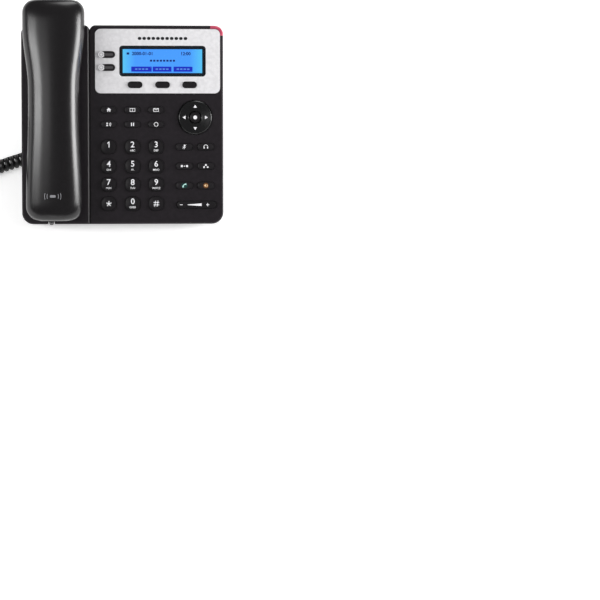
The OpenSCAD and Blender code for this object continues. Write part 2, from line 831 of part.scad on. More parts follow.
module receiver() {
  color(metal) face() {
    translate([cradle_u, ear_v, -3.4]) cylinder(h = 4, r = 18);
    translate([cradle_u, ear_v, 0.5]) cylinder(h = 5, r = 10);
  }
}

module handset_mic() {
  color(metal) face() translate([cradle_u, mouth_v + 1, -3.4]) cylinder(h = 4.5, r = 4.9);
}

// ---------------------------------------------------------------- cord

module handset_plug() {
  color([0.12, 0.12, 0.13]) face() plug_place() {
    translate([-3.8, -2.6, -3.2]) cube([7.6, 12.6, 6.4]);
    translate([0, -2.55, 0]) rotate([90, 0, 0]) cylinder(h = 2.4, r = 2.4);
  }
}

module base_plug() {
  color([0.12, 0.12, 0.13]) face() translate([cord_jack_u, cord_jack_rows[0], 0]) {
    slab(-33.4, -19.4) square([7.6, 6.6], center = true);
    slab(-36.4, -33.35) circle(2.4);
  }
}

// a round tube along hand-chosen points: each ring is turned to the path there
function unit(a) = a / norm(a);
function tangent(path, i) = unit(path[min(len(path) - 1, i + 1)] - path[max(0, i - 1)]);
function across(t) = unit(cross(t, abs(t[2]) > 0.8 ? [0, 1, 0] : [0, 0, 1]));

module tube(path, d, sides) {
  rings = len(path);
  points = [for (i = [0:rings - 1]) let (t = tangent(path, i), a = across(t), b = cross(a, t))
    for (k = [0:sides - 1]) path[i] + (cos(360 * k / sides) * a + sin(360 * k / sides) * b) * d / 2];
  faces = concat(
    [for (i = [0:rings - 2]) for (k = [0:sides - 1]) let (k2 = (k + 1) % sides)
      [i * sides + k, i * sides + k2, (i + 1) * sides + k2, (i + 1) * sides + k]],
    [[for (k = [sides - 1:-1:0]) k], [for (k = [0:sides - 1]) (rings - 1) * sides + k]]);
  translate([0, front_y, 0]) polyhedron(points, faces, convexity = 4);
}

// heights of the two kinds of cord on the desk
wire_z = wire_d / 2 + 0.1;
coil_z = coil_d / 2 + 0.1;

// where each plug's cord starts, in plan from the face's front edge
function plug_axis(d) = let (v = plug_v - d * cos(plug_lean), w = plug_w - d * sin(plug_lean))
  [notch_u, desk_y(v, w), desk_z(v, w)];
base_exit = [cord_jack_u, desk_y(cord_jack_rows[0], -36.4), desk_z(cord_jack_rows[0], -36.4)];

// curly part: from under the body to the left, round a loop and back
coil_path = [
  [-58, 86, coil_z], [-66, 83.1, coil_z], [-75, 79.8, coil_z], [-85, 76.2, coil_z], [-95, 72.5, coil_z],
  [-105, 68.9, coil_z], [-115, 65.2, coil_z], [-127, 61, coil_z], [-140, 56.8, coil_z], [-153, 54, coil_z],
  [-165, 53.4, coil_z], [-177, 56, coil_z], [-188, 61.6, coil_z], [-196, 70, coil_z], [-200, 80, coil_z],
  [-200, 91, coil_z], [-195, 101.4, coil_z], [-186, 109, coil_z], [-175, 113, coil_z], [-163, 112.4, coil_z],
  [-153, 107.4, coil_z], [-146, 100, coil_z], [-140, 92, coil_z]];

// straight part from the handset to the curly part
handset_lead = [
  plug_axis(5), plug_axis(6.9), [notch_u, 2.1, 18.9], [notch_u, 3.4, 16.1], [notch_u, 5.3, 12.6],
  [notch_u, 7.5, 9.3], [notch_u, 10.8, 5.7], [-65.3, 14.5, 3.8], [-65, 19, wire_z + 0.3],
  [-64.2, 24, wire_z], [-61.5, 34, wire_z], [-57.5, 48, wire_z], [-52.5, 61, wire_z],
  [-48, 72, wire_z], [-45.4, 80, wire_z + 0.5], [-45.4, 86, 3.4], [-48.6, 89, 4.8], [-53, 88.2, 6],
  [-58, 86, coil_z]];

// straight part from the curly part back to the body
base_lead = [
  [-140, 92, coil_z], [-136.6, 88, 5.6], [-132, 83.6, 3.6], [-126, 79, wire_z + 0.3], [-121, 75.6, wire_z],
  [-115, 72.9, wire_z], [-105, 76.6, wire_z], [-95, 80.2, wire_z], [-88, 83, wire_z], [-82, 87, wire_z],
  [-77.6, 92.6, wire_z], [-74.6, 99, 3.2], [-73, 106, 6.4], [-72.2, 112.4, 12.4], [-72, 117, 20],
  [-72, 119.3, 28], [-72, 118.4, 35.9], base_exit];

module cord_coil() {
  color(rubber_black) tube(coil_path, coil_d, 12);
}

module cord_leads() {
  color(rubber_black) {
    tube(handset_lead, wire_d, 8);
    tube(base_lead, wire_d, 8);
  }
}

// ---------------------------------------------------------------- drawing

top_case();
bottom_case();
display_bezel();
lcd_window();
lcd_module();
display_ribbon();
main_board();
keypad_membrane();
message_light();
loudspeaker();
handsfree_mic();
network_jacks();
power_jack();
cord_jacks();
hook_plunger();
hook_tab();
feet();
case_screws();
desk_stand();
line_key_1();
line_key_2();
soft_key_1();
soft_key_2();
soft_key_3();
home_key();
contacts_key();
mail_key();
page_key();
hold_key();
ring_key();
digit_1();
digit_2();
digit_3();
digit_4();
digit_5();
digit_6();
digit_7();
digit_8();
digit_9();
star_key();
digit_0();
hash_key();
nav_pivot();
nav_ring();
ok_key();
mute_key();
headset_key();
transfer_key();
conference_key();
send_key();
speaker_key();
volume_rocker();
handset_back();
handset_front();
receiver();
handset_mic();
handset_plug();
base_plug();
cord_coil();
cord_leads();
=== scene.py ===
import json
import math

import bpy
from mathutils import Matrix, Vector


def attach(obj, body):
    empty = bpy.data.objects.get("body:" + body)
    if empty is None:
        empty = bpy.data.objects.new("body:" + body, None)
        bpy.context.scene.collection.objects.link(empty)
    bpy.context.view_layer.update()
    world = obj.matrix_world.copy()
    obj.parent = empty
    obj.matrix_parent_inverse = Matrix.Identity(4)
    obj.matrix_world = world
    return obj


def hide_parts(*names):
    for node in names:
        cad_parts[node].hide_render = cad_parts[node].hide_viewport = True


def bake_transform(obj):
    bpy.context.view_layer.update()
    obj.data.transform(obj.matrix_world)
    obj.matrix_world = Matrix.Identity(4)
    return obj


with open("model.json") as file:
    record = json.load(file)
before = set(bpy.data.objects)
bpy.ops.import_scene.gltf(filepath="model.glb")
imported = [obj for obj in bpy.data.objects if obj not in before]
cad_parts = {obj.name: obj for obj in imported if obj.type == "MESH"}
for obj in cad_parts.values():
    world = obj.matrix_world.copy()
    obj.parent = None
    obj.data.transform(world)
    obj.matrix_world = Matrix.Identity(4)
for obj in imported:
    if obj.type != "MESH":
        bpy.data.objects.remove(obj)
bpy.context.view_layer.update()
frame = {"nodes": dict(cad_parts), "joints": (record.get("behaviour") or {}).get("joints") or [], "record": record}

MM = 0.001
NODES = frame["nodes"]

# ---------------------------------------------------------------- the tilted frame of the face
# u runs right, v up the face and w out of it, all in millimetres from the face's front edge

RIGHT = Vector((1, 0, 0))
OUT = Vector(next(j for j in frame["joints"] if j["name"] == "handset_lift")["axis"]).normalized()
UP = OUT.cross(RIGHT)
CASE_POINTS = [v.co.copy() for v in NODES["top_case"].data.vertices]
ORIGIN = OUT * max(p.dot(OUT) for p in CASE_POINTS) + UP * min(p.dot(UP) for p in CASE_POINTS)


def placed(origin, x_axis, y_axis, z_axis):
    """Matrix that stands something at origin with the given axes."""
    return Matrix.Translation(origin) @ Matrix((x_axis, y_axis, z_axis)).transposed().to_4x4()


def facing(place, target):
    """Matrix that points a camera or lamp at place to target, its top towards the face's top."""
    back = (place - target).normalized()
    side = UP.cross(back).normalized()
    return placed(place, side, back.cross(side), back)


FACE = placed(ORIGIN, RIGHT, UP, OUT) @ Matrix.Scale(MM, 4)
TO_FACE = FACE.inverted()


def at(u, v, w=0.0):
    return FACE @ Vector((u, v, w))


def plan(x, y, z):
    """A point from its plan distance to the face's front edge, in millimetres."""
    return Vector((x * MM, ORIGIN.y + y * MM, z * MM))


def span(node):
    """Lowest and highest u, v, w of a CAD node."""
    points = [TO_FACE @ v.co for v in NODES[node].data.vertices]
    return (Vector([min(p[i] for p in points) for i in range(3)]),
            Vector([max(p[i] for p in points) for i in range(3)]))


def centre(node):
    """Middle of a CAD node's u, v, w box."""
    low, high = span(node)
    return (low + high) / 2


# ---------------------------------------------------------------- camera

EYE, AIM = at(-90, 90, 2500), at(163.1, -70.9)
VIEW_WIDTH = 0.5554  # metres across at the aim
SENSOR = 36


def make_camera():
    data = bpy.data.cameras.new("camera")
    data.sensor_width = SENSOR
    data.lens = SENSOR * (AIM - EYE).length / VIEW_WIDTH
    data.clip_start, data.clip_end = 0.05, 50
    camera = bpy.data.objects.new("camera", data)
    bpy.context.scene.collection.objects.link(camera)
    camera.matrix_world = facing(EYE, AIM)
    bpy.context.scene.camera = camera


make_camera()


# ---------------------------------------------------------------- materials

def principled(name, colour, rough, metal=0.0, specular=0.5, coat=0.0, coat_rough=0.1):
    material = bpy.data.materials.new(name)
    material.use_nodes = True
    shader = material.node_tree.nodes["Principled BSDF"]
    shader.inputs["Base Color"].default_value = (*colour, 1)
    shader.inputs["Roughness"].default_value = rough
    shader.inputs["Metallic"].default_value = metal
    shader.inputs["Specular IOR Level"].default_value = specular
    shader.inputs["Coat Weight"].default_value = coat
    shader.inputs["Coat Roughness"].default_value = coat_rough
    return material, shader


def noise(material, scale, detail=2.0):
    tree = material.node_tree
    coords = tree.nodes.new("ShaderNodeTexCoord")
    texture = tree.nodes.new("ShaderNodeTexNoise")
    texture.inputs["Scale"].default_value = scale
    texture.inputs["Detail"].default_value = detail
    tree.links.new(coords.outputs["Object"], texture.inputs["Vector"])
    return texture.outputs["Fac"]


def ramp(material, source, low, high, start=0.35, end=0.65):
    node = material.node_tree.nodes.new("ShaderNodeValToRGB")
    node.color_ramp.elements[0].position, node.color_ramp.elements[1].position = start, end
    node.color_ramp.elements[0].color, node.color_ramp.elements[1].color = (*low, 1), (*high, 1)
    material.node_tree.links.new(source, node.inputs["Fac"])
    return node.outputs["Color"]


def grain(material, shader, scale, strength, depth=0.00004):
    bump = material.node_tree.nodes.new("ShaderNodeBump")
    bump.inputs["Strength"].default_value = strength
    bump.inputs["Distance"].default_value = depth
    material.node_tree.links.new(noise(material, scale, 3), bump.inputs["Height"])
    material.node_tree.links.new(bump.outputs["Normal"], shader.inputs["Normal"])


def wear(material, shader, low, high, scale=60):
    """Roughness that changes a little over the surface."""
    node = material.node_tree.nodes.new("ShaderNodeMapRange")
    node.inputs["To Min"].default_value, node.inputs["To Max"].default_value = low, high
    material.node_tree.links.new(noise(material, scale, 4), node.inputs["Value"])
    material.node_tree.links.new(node.outputs["Result"], shader.inputs["Roughness"])


def plastic(name, colour, rough, grain_scale=1400, grain_strength=0.25, tint=0.12, **more):
    """Moulded plastic: fine texture, a faint tint change and uneven gloss."""
    material, shader = principled(name, colour, rough, **more)
    low, high = [tuple(c * k for c in colour) for k in (1 - tint, 1 + tint)]
    material.node_tree.links.new(ramp(material, noise(material, 300), low, high), shader.inputs["Base Color"])
    grain(material, shader, grain_scale, grain_strength)
    wear(material, shader, rough * 0.88, min(1, rough * 1.12))
    return material


def paint(name, colour, rough=0.5, glow=0.0):
    """Printed colour with a glow: real backlight behind the display's print, and a painted glow on the key marks,
    which are not lit.
    """
    material, shader = principled(name, colour, rough, specular=0.3)
    if glow:
        shader.inputs["Emission Color"].default_value = (*colour, 1)
        shader.inputs["Emission Strength"].default_value = glow
    wear(material, shader, rough * 0.9, rough * 1.1, 200)
    return material


def brushed(name, colour, rough):
    material, shader = principled(name, colour, rough, metal=1.0)
    grain(material, shader, 900, 0.15)
    wear(material, shader, rough * 0.8, rough * 1.2, 120)
    return material


def screen_material():
    """Backlit display, paler towards both ends."""
    material, shader = principled("screen_blue", (0.01, 0.05, 0.15), 0.3)
    tree = material.node_tree
    coords, parts = tree.nodes.new("ShaderNodeTexCoord"), tree.nodes.new("ShaderNodeSeparateXYZ")
    tree.links.new(coords.outputs["Generated"], parts.inputs["Vector"])
    node = tree.nodes.new("ShaderNodeValToRGB")
    stops = node.color_ramp.elements
    edge, middle = (0.09, 0.52, 0.82, 1), (0.055, 0.30, 0.92, 1)
    stops[0].position, stops[0].color = 0.0, edge
    stops[1].position, stops[1].color = 1.0, edge
    for place in (0.16, 0.84):
        stop = stops.new(place)
        stop.color = middle
    tree.links.new(parts.outputs["X"], node.inputs["Fac"])
    tree.links.new(node.outputs["Color"], shader.inputs["Emission Color"])
    shader.inputs["Emission Strength"].default_value = 1.25
    return material


def glass_material(name, colour, alpha, rough=0.06):
    material, shader = principled(name, colour, rough)
    shader.inputs["Alpha"].default_value = alpha
    wear(material, shader, rough * 0.7, rough * 1.4, 90)
    return material


def lamp_material():
    material = plastic("lamp_red", (0.50, 0.055, 0.11), 0.3, grain_scale=500, grain_strength=0.1)
    shader = material.node_tree.nodes["Principled BSDF"]
    shader.inputs["Emission Color"].default_value = (0.75, 0.12, 0.2, 1)
    shader.inputs["Emission Strength"].default_value = 0.06
    return material


LOOKS = {
    "case": plastic("case_charcoal", (0.0155, 0.0125, 0.0155), 0.4, specular=0.26),
    "silver_panel": plastic("panel_silver", (0.87, 0.86, 0.88), 0.38, grain_scale=2600, tint=0.05, coat=0.15),
    "window": glass_material("window_clear", (0.02, 0.03, 0.05), 0.10),
    "display": plastic("display_frame", (0.012, 0.014, 0.02), 0.4),
    "ribbon": plastic("ribbon_amber", (0.55, 0.28, 0.07), 0.4, grain_scale=500),
    "board": plastic("board_green", (0.02, 0.14, 0.06), 0.35, grain_scale=400),
    "membrane": plastic("membrane_grey", (0.12, 0.12, 0.13), 0.7),
    "red_light": lamp_material(),
    "dark_metal": brushed("metal_dark", (0.08, 0.08, 0.08), 0.4),
    "bright_metal": brushed("metal_bright", (0.62, 0.62, 0.64), 0.3),
    "socket": plastic("socket_beige", (0.60, 0.57, 0.50), 0.45),
    "black_plastic": plastic("plastic_black", (0.012, 0.012, 0.013), 0.4),
    "rubber_pad": plastic("rubber_feet", (0.02, 0.02, 0.02), 0.8, grain_strength=0.5),
    "plug": plastic("plug_black", (0.01, 0.01, 0.011), 0.42, grain_strength=0.05, specular=0.3),
    "cord": plastic("cord_black", (0.009, 0.009, 0.0095), 0.36, grain_strength=0.1, specular=0.4),
    "grey_key": plastic("key_grey", (0.014, 0.012, 0.014), 0.34, specular=0.35),
    "black_key": plastic("key_black", (0.010, 0.0085, 0.010), 0.34, specular=0.35),
    "ring": plastic("ring_black", (0.004, 0.004, 0.0045), 0.24),
    "handset": plastic("handset_black", (0.006, 0.005, 0.006), 0.26, grain_scale=1800, grain_strength=0.06),
}
# The white key legends get a painted glow: they are printed marks, not lamps.
WHITE = paint("mark_white", (0.88, 0.88, 0.9), glow=0.15)
GREY = paint("mark_handset_grey", (0.3, 0.3, 0.32))
DARK = paint("mark_dark", (0.012, 0.012, 0.014))
SMOKE = paint("mark_smoke", (0.085, 0.08, 0.085), 0.35)
# The send and speaker keys' patches and icons get a painted glow; they are not lit from behind.
TEAL = paint("mark_teal", (0.006, 0.035, 0.032), glow=0.3)
PALE_TEAL = paint("mark_pale_teal", (0.55, 0.86, 0.80), glow=0.15)
AMBER = paint("mark_amber", (0.13, 0.05, 0.012), glow=0.3)
CREAM = paint("mark_cream", (0.88, 0.62, 0.36), glow=0.15)
NAVY = paint("screen_navy", (0.003, 0.015, 0.14), 0.6, glow=0.3)
LABEL = paint("screen_label", (0.004, 0.016, 0.40), 0.6, glow=0.85)
LABEL_MARK = paint("screen_label_mark", (0.10, 0.28, 0.85), 0.6, glow=0.35)
BORDER = paint("screen_border", (0.008, 0.012, 0.018), 0.3)
SCREEN = screen_material()


# ---------------------------------------------------------------- meshes

def piece(name, points, faces, material, smooth=False):
    mesh = bpy.data.meshes.new(name)
    mesh.from_pydata([tuple(p) for p in points], [], faces)
    mesh.materials.append(material)
    mesh.polygons.foreach_set("use_smooth", [smooth] * len(mesh.polygons))
    mesh.update()
    thing = bpy.data.objects.new(name, mesh)
    bpy.context.scene.collection.objects.link(thing)
    return thing


class Flat:
    """A flat drawing in millimetres, made of simple filled shapes."""

    def __init__(self):
        self.points, self.faces = [], []

    def poly(self, points):
        base = len(self.points)
        self.points += [tuple(p) for p in points]
        self.faces.append(tuple(range(base, base + len(points))))
        return self

    def box(self, x, y, w, h):
        a, b = w / 2, h / 2
        return self.poly([(x - a, y - b), (x + a, y - b), (x + a, y + b), (x - a, y + b)])

    def line(self, x0, y0, x1, y1, width):
        d = Vector((x1 - x0, y1 - y0)).normalized() * width / 2
        return self.poly([(x0 + d.y, y0 - d.x), (x1 + d.y, y1 - d.x),
                          (x1 - d.y, y1 + d.x), (x0 - d.y, y0 + d.x)])

    def disc(self, x, y, r, sides=24):
        turn = 2 * math.pi / sides
        return self.poly([(x + r * math.cos(turn * k), y + r * math.sin(turn * k)) for k in range(sides)])

    def pill(self, x, y, w, h, sides=10):
        r, points = h / 2, []
        for end in (1, -1):
            for k in range(sides + 1):
                a = math.pi * (k / sides - 0.5) + (0 if end > 0 else math.pi)
                points.append((x + end * (w / 2 - r) + r * math.cos(a), y + r * math.sin(a)))
        return self.poly(points)

    def arc(self, x, y, r, width, start, end, sides=20):
        base = len(self.points)
        for k in range(sides + 1):
            a = math.radians(start + (end - start) * k / sides)
            for edge in (r - width / 2, r + width / 2):
                self.points.append((x + edge * math.cos(a), y + edge * math.sin(a)))
        self.faces += [(i, i + 1, i + 3, i + 2) for i in range(base, base + 2 * sides, 2)]
        return self

    def frame(self, x, y, w, h, line):
        for s in (-1, 1):
            self.box(x, y + s * (h - line) / 2, w, line)
            self.box(x + s * (w - line) / 2, y, line, h - 2 * line)
        return self

    def words(self, text, x, y, height, weight=0.0):
        """Plain built-in lettering of a given height, centred on x, y."""
        curve = bpy.data.curves.new("words", "FONT")
        curve.body, curve.size, curve.offset, curve.resolution_u = text, 1.0, weight, 3
        thing = bpy.data.objects.new("words", curve)
        mesh = thing.to_mesh()
        raw = [v.co.copy() for v in mesh.vertices]
        low = Vector([min(p[i] for p in raw) for i in range(2)])
        high = Vector([max(p[i] for p in raw) for i in range(2)])
        k, base, mid = height / (high.y - low.y), len(self.points), (low + high) / 2
        self.points += [(x + k * (p.x - mid.x), y + k * (p.y - mid.y)) for p in raw]
        self.faces += [tuple(base + i for i in f.vertices) for f in mesh.polygons]
        thing.to_mesh_clear()
        bpy.data.objects.remove(thing)
        bpy.data.curves.remove(curve)
        return self

    def make(self, name, u, v, w, material, body, level=None):
        """Lays the drawing on the face at u, v; w is its level, or level(x, y) gives it."""
        points = [at(u + x, v + y, w + (level(x, y) if level else 0)) for x, y in self.points]
        thing = piece(name, points, self.faces, material)
        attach(thing, body)


# ---------------------------------------------------------------- cord

# Sizes in millimetres; points are x, plan distance from the face's front edge, height
WIRE_R = 1.9
COIL_R = 4.6
COIL_Z = 6.6
PITCH = 5.0
TURN_RINGS = 16
SIDES = 8
NOTCH_U = -65.4
NECK_REACH = 4.9
LEAD_STEP = 1.6
RING_GAP = 0.9
BOOT_R = 2.75
BOOT_TAPER = 0.07
BOOT_RINGS = 9

COIL_PLAN = [
    (-58, 86), (-66, 83.1), (-75, 79.8), (-85, 76.2), (-95, 72.5), (-105, 68.9), (-115, 65.2), (-127, 61),
    (-140, 56.8), (-153, 54), (-165, 53.4), (-177, 56), (-188, 61.6), (-196, 70), (-200, 80), (-200, 91),
    (-195, 101.4), (-186, 109), (-175, 113), (-163, 112.4), (-153, 107.4), (-146, 100), (-140, 92)]
HANDSET_LEAD = [
    (NOTCH_U, 3.4, 16.1), (NOTCH_U, 5.3, 12.6), (NOTCH_U, 7.5, 9.3), (NOTCH_U, 10.8, 5.7), (-65.3, 14.5, 3.8),
    (-65, 19, 2.3), (-64.2, 24, 2), (-61.5, 34, 2), (-57.5, 48, 2), (-52.5, 61, 2), (-48, 72, 2),
    (-45.4, 80, 2.5), (-45.4, 86, 3.4), (-48.6, 89, 4.8), (-53, 88.2, 6), (-58, 86, COIL_Z)]
BASE_LEAD = [
    (-140, 92, COIL_Z), (-136.6, 88, 5.6), (-132, 83.6, 3.6), (-126, 79, 2.3), (-121, 75.6, 2),
    (-115, 72.9, 2), (-105, 76.6, 2), (-95, 80.2, 2), (-88, 83, 2), (-82, 87, 2), (-77.6, 92.6, 2),
    (-74.6, 99, 3.2), (-73, 106, 6.4), (-72.2, 112.4, 12.4), (-72, 117, 20), (-72, 119.3, 28),
    (-72, 118.4, 35.9)]


def smooth_path(points, step):
    """Points at even steps along a smooth curve through the given ones."""
    dense = []
    for i in range(len(points) - 1):
        a, b = points[max(0, i - 1)], points[i]
        c, d = points[i + 1], points[min(len(points) - 1, i + 2)]
        for k in range(8):
            t = k / 8
            dense.append(0.5 * (2 * b + (c - a) * t + (2 * a - 5 * b + 4 * c - d) * t * t
                                + (3 * b - a - 3 * c + d) * t ** 3))
    dense.append(points[-1])
    lengths = [0.0]
    for p, q in zip(dense, dense[1:]):
        lengths.append(lengths[-1] + (q - p).length)
    count, i, even = max(2, round(lengths[-1] / step)), 0, []
    for k in range(count + 1):
        want = lengths[-1] * k / count
        while i < len(dense) - 2 and lengths[i + 1] < want:
            i += 1
        share = (want - lengths[i]) / max(1e-9, lengths[i + 1] - lengths[i])
        even.append(dense[i].lerp(dense[i + 1], min(1, share)))
    return even


def coil_rings():
    """Centres of the rings of the curly part: a screw line round its smooth path."""
    axis = smooth_path([plan(x, y, COIL_Z) for x, y in COIL_PLAN], PITCH * MM / TURN_RINGS)
    rings, last, a = [], len(axis) - 1, 0.0
    for i, p in enumerate(axis):
        forward = (axis[min(last, i + 1)] - axis[max(0, i - 1)]).normalized()
        side = forward.cross(Vector((0, 0, 1)))
        grow = min(1, i / (2 * TURN_RINGS), (last - i) / (2 * TURN_RINGS))
        a += 2 * math.pi / TURN_RINGS * grow
        r = COIL_R * MM * grow * grow * (3 - 2 * grow)
        rings.append(p + r * (math.cos(a) * side + Vector((0, 0, math.sin(a)))))
    return rings


def thin(points, gap):
    kept = [points[0]]
    for p in points[1:]:
        if (p - kept[-1]).length >= gap:
            kept.append(p)
    return kept


def tube(name, rings, radii, material):
    """A round tube through ring centres, its rings turned without twist."""
    points, faces = [], []
    across = Vector((1, 0, 0))
    for i, (p, radius) in enumerate(zip(rings, radii)):
        forward = (rings[min(len(rings) - 1, i + 1)] - rings[max(0, i - 1)]).normalized()
        across = (across - forward * across.dot(forward)).normalized()
        other = forward.cross(across)
        for k in range(SIDES):
            a = 2 * math.pi * k / SIDES
            points.append(p + radius * (math.cos(a) * across + math.sin(a) * other))
    for i in range(len(rings) - 1):
        for k in range(SIDES):
            j, m = i * SIDES + k, i * SIDES + (k + 1) % SIDES
            faces.append((j, m, m + SIDES, j + SIDES))
    faces += [tuple(range(SIDES))[::-1], tuple((len(rings) - 1) * SIDES + k for k in range(SIDES))]
    return piece(name, points, faces, material, smooth=True)


def plug_neck():
    """Middle of the handset plug's outer end."""
    points = [v.co for v in NODES["handset_plug"].data.vertices]
    far = min(points, key=lambda p: p.y)
    neck = [p for p in points if (p - far).length < NECK_REACH * MM]
    middle = sum(neck, Vector()) / len(neck)
    middle.x = NOTCH_U * MM
    return middle


def make_boot(lead):
    radii = [(BOOT_R - BOOT_TAPER * k) * MM for k in range(BOOT_RINGS)]
    boot = tube("strain_relief", lead[:BOOT_RINGS], radii, LOOKS["plug"])
    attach(boot, "handset")
    return boot


def make_cord():
    low, high = span("base_plug")
    start, end = plug_neck(), at((low.x + high.x) / 2, (low.y + high.y) / 2, low.z)
    first = smooth_path([start] + [plan(*p) for p in HANDSET_LEAD], LEAD_STEP * MM)
    last = smooth_path([plan(*p) for p in BASE_LEAD] + [end], LEAD_STEP * MM)
    rings = thin(first[:-1] + coil_rings() + last[1:], RING_GAP * MM)
    cord = tube("handset_cord", rings, [WIRE_R * MM] * len(rings), LOOKS["cord"])
    boot = make_boot(first)
    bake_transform(cord)
    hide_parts("cord_coil", "cord_leads")


make_cord()


# ---------------------------------------------------------------- CAD parts

WELD_GAP = 0.00001
BEVEL_FROM = 50
KEY_BEVEL = 0.3
CREASE, HANDSET_CREASE = 25, 40


def tidy_mesh(thing, angle, bevel):
    """Shades curved faces smoothly and sharp edges crisply; a bevel rounds the edges a little."""
    thing.data.polygons.foreach_set("use_smooth", [True] * len(thing.data.polygons))
    weld = thing.modifiers.new("weld", "WELD")
    weld.merge_threshold = WELD_GAP
    if bevel:
        edge = thing.modifiers.new("edges", "BEVEL")
        edge.width, edge.segments, edge.limit_method = bevel * MM, 2, "ANGLE"
        edge.angle_limit = math.radians(BEVEL_FROM)
        edge.use_clamp_overlap = True
    split = thing.modifiers.new("creases", "EDGE_SPLIT")
    split.split_angle = math.radians(angle)


def dress_nodes():
    slots = {s["node"]: s["material_slot"] for s in frame["record"]["subparts"]}
    for name, thing in NODES.items():
        thing.data.materials.clear()
        thing.data.materials.append(LOOKS["ring" if name == "nav_ring" else slots[name]])
        if name in ("cord_coil", "cord_leads"):
            continue
        crease = HANDSET_CREASE if name.startswith("handset") else CREASE
        tidy_mesh(thing, crease, KEY_BEVEL if slots[name].endswith("_key") else 0)


dress_nodes()


# ---------------------------------------------------------------- marks on the keys

MARK_GAP = 0.04
PATCH_GAP = 0.02


def mark(drawing, node, material=WHITE, name=None, dx=0.0, lift=MARK_GAP):
    """Lays a drawing on the middle of a key's top."""
    middle, top = centre(node), span(node)[1].z
    drawing.make(name or "mark_" + node, middle.x + dx, middle.y, top + lift, material, node)


def digit_marks():
    letters = {"2": "ABC", "3": "DEF", "4": "GHI", "5": "JKL", "6": "MNO", "7": "PQRS", "8": "TUV",
               "9": "WXYZ", "0": "OPER"}
    for n in "1234567890":
        drawing = Flat()
        if n == "1":
            drawing.box(0.35, 2.1, 0.85, 5.4).line(-1.2, 3.2, 0.35, 4.4, 0.75)
        else:
            drawing.words(n, 0, 2.2, 5.4, 0.01)
        if n in letters:
            drawing.words(letters[n], 0, -3.3, 1.8, 0.014)
        mark(drawing, "digit_" + n)
    star = Flat()
    for k in range(5):
        a = math.radians(90 + 72 * k)
        star.line(0, 0, 2.5 * math.cos(a), 2.5 * math.sin(a), 0.8)
    mark(star, "star_key")
    sharp = Flat()
    for s in (-1.1, 1.1):
        sharp.line(s - 0.45, -2.7, s + 0.45, 2.7, 0.62).box(0, s, 5.2, 0.62)
    mark(sharp, "hash_key")


def function_marks():
    home = Flat().poly([(-2.1, 0.1), (2.1, 0.1), (0, 2.0)])
    home.box(-0.95, -0.75, 0.9, 1.7).box(0.95, -0.75, 0.9, 1.7)
    mark(home.box(0, -0.2, 1.0, 0.6), "home_key")
    mark(Flat().frame(0, 0, 5.0, 3.2, 0.45).box(0, 0, 0.5, 2.4), "contacts_key")
    mail = Flat().frame(0, 0, 5.0, 3.2, 0.45)
    mark(mail.line(-2.2, 1.3, 0, 0, 0.4).line(2.2, 1.3, 0, 0, 0.4), "mail_key")
    page = Flat().disc(-1.6, 0.9, 0.75).pill(-1.6, -0.9, 1.7, 1.5)
    mark(page.arc(-0.9, 0, 1.6, 0.45, -45, 45).arc(-0.9, 0, 2.7, 0.45, -40, 40), "page_key")
    mark(Flat().box(-0.95, 0, 0.9, 3.0).box(0.95, 0, 0.9, 3.0), "hold_key")
    mark(Flat().arc(0, 0, 1.8, 0.5, -80, 260), "ring_key")


def cluster_marks():
    mute = Flat().box(0, 0.7, 1.1, 1.7).disc(0, 1.5, 0.55).disc(0, -0.1, 0.55)
    mute.arc(0, 0.2, 1.25, 0.35, 180, 360).box(0, -1.6, 0.35, 0.9).line(-1.7, -1.9, 1.7, 2.1, 0.35)
    mark(mute, "mute_key")
    headset = Flat().arc(0, 0, 1.8, 0.45, -5, 185)
    mark(headset.box(-1.6, -0.9, 1.0, 1.4).box(1.6, -0.9, 1.0, 1.4), "headset_key")
    pair = Flat().box(-2.4, 0, 1.7, 1.9).box(2.4, 0, 1.7, 1.9)
    mark(pair.disc(0, 0, 0.5).box(0, 0, 2.0, 0.3), "transfer_key")
    three = Flat().disc(0, 1.1, 0.8).disc(-1.7, -1.0, 0.8).disc(1.7, -1.0, 0.8)
    mark(three.line(0, 1.1, -1.7, -1, 0.35).line(0, 1.1, 1.7, -1, 0.35), "conference_key")
    mark(Flat().pill(0, 0, 5.6, 4.4), "send_key", TEAL, "patch_send_key", lift=PATCH_GAP)
    receiver = Flat().arc(1.3, -1.3, 2.7, 0.75, 95, 175).disc(1.1, 1.3, 0.7).disc(-1.3, -1.1, 0.7)
    mark(receiver, "send_key", PALE_TEAL)
    mark(Flat().disc(0, 0, 2.4), "speaker_key", AMBER, "patch_speaker_key", lift=PATCH_GAP)
    cone = Flat().box(-1.1, 0, 0.8, 1.2).poly([(-0.8, -0.6), (0.2, -1.4), (0.2, 1.4), (-0.8, 0.6)])
    mark(cone.arc(0, 0, 1.4, 0.5, -50, 50), "speaker_key", CREAM)


def volume_marks():
    drawing = Flat().box(-14.3, 0, 2.6, 0.6).box(10, 0, 2.8, 0.65).box(10, 0, 0.65, 2.8)
    drawing.poly([(-8.4, -0.3), (4.4, -1.2), (4.4, 1.2), (-8.4, 0.3)])
    mark(drawing, "volume_rocker")


RING_DISH = 0.6
RING_LIP = 1.1
RING_WIDTH = 9.4
RING_TOP = 4.0
ARROW = ((11.6, 0), (8.9, 1.6), (8.9, -1.6))


def ring_level(x, y):
    """Height of a mark on the navigation ring's dished top, from its inner edge out."""
    low, high = span("nav_ring")
    outer = (high.x - low.x) / 2
    start, end = outer - RING_WIDTH + 1, outer - RING_TOP
    return MARK_GAP + RING_DISH * max(0, min(1, (math.hypot(x, y) - start) / (end - start)))


